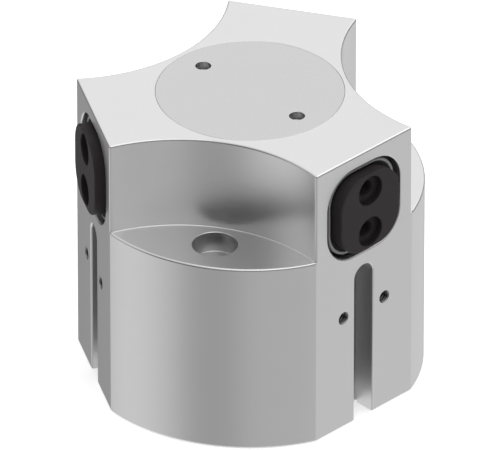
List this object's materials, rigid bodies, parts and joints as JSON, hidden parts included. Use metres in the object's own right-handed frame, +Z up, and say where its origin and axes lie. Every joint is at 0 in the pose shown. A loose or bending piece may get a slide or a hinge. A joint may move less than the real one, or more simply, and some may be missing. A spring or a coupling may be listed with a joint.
{
  "type": "three jaw centric gripper",
  "caption": "Round air-worked gripper: a wedge driver under the cover moves square jaws in and out together, in arms spaced evenly round the body.",
  "frame": {"origin": "on the body's axis, in the plane of its bottom face", "axes": "+Z up the body's axis, out of the cover disc; +X along the first jaw's travel, outward"},
  "size_m": [0.0789, 0.08, 0.0712],
  "materials": {
    "body_aluminium": "satin anodised",
    "cover_aluminium": "satin turned",
    "inner_aluminium": "turned",
    "seal_rubber": "matt",
    "wiper_grey": "matt",
    "hardened_steel": "ground",
    "jaw_black": "black, satin",
    "bush_bronze": "turned",
    "magnet": "matt"
  },
  "bodies": {
    "base": {"housing": "body_aluminium", "cover_disc": "cover_aluminium", "cover_seal": "seal_rubber", "rod_bush": "bush_bronze", "rod_seal": "seal_rubber", "end_cap": "inner_aluminium", "end_cap_seal": "seal_rubber", "retaining_ring": "hardened_steel", "guide_sleeve_1": "hardened_steel", "wiper_frame_1": "wiper_grey", "wiper_lip_1": "seal_rubber", "guide_sleeve_2": "hardened_steel", "wiper_frame_2": "wiper_grey", "wiper_lip_2": "seal_rubber", "guide_sleeve_3": "hardened_steel", "wiper_frame_3": "wiper_grey", "wiper_lip_3": "seal_rubber"},
    "drive": {"wedge_driver": "hardened_steel", "piston": "inner_aluminium", "piston_screw": "hardened_steel", "piston_seal_lower": "seal_rubber", "piston_seal_upper": "seal_rubber", "magnet_band": "magnet"},
    "jaw_1_body": {"jaw_1": "jaw_black"},
    "jaw_2_body": {"jaw_2": "jaw_black"},
    "jaw_3_body": {"jaw_3": "jaw_black"}
  },
  "joints": [
    {"name": "piston_slide", "type": "slide", "parent": "base", "child": "drive", "axis": [0, 0, -1], "range_m": [0, 0.01]},
    {"name": "jaw_1_slide", "type": "slide", "parent": "base", "child": "jaw_1_body", "axis": [1, 0, 0], "range_m": [0, 0.006]},
    {"name": "jaw_2_slide", "type": "slide", "parent": "base", "child": "jaw_2_body", "axis": [-0.5, 0.866, 0], "range_m": [0, 0.006]},
    {"name": "jaw_3_slide", "type": "slide", "parent": "base", "child": "jaw_3_body", "axis": [-0.5, -0.866, 0], "range_m": [0, 0.006]}
  ],
  "couplings": [
    {"joint": "jaw_1_slide", "follows": "piston_slide", "ratio": 0.6},
    {"joint": "jaw_2_slide", "follows": "piston_slide", "ratio": 0.6},
    {"joint": "jaw_3_slide", "follows": "piston_slide", "ratio": 0.6}
  ]
}
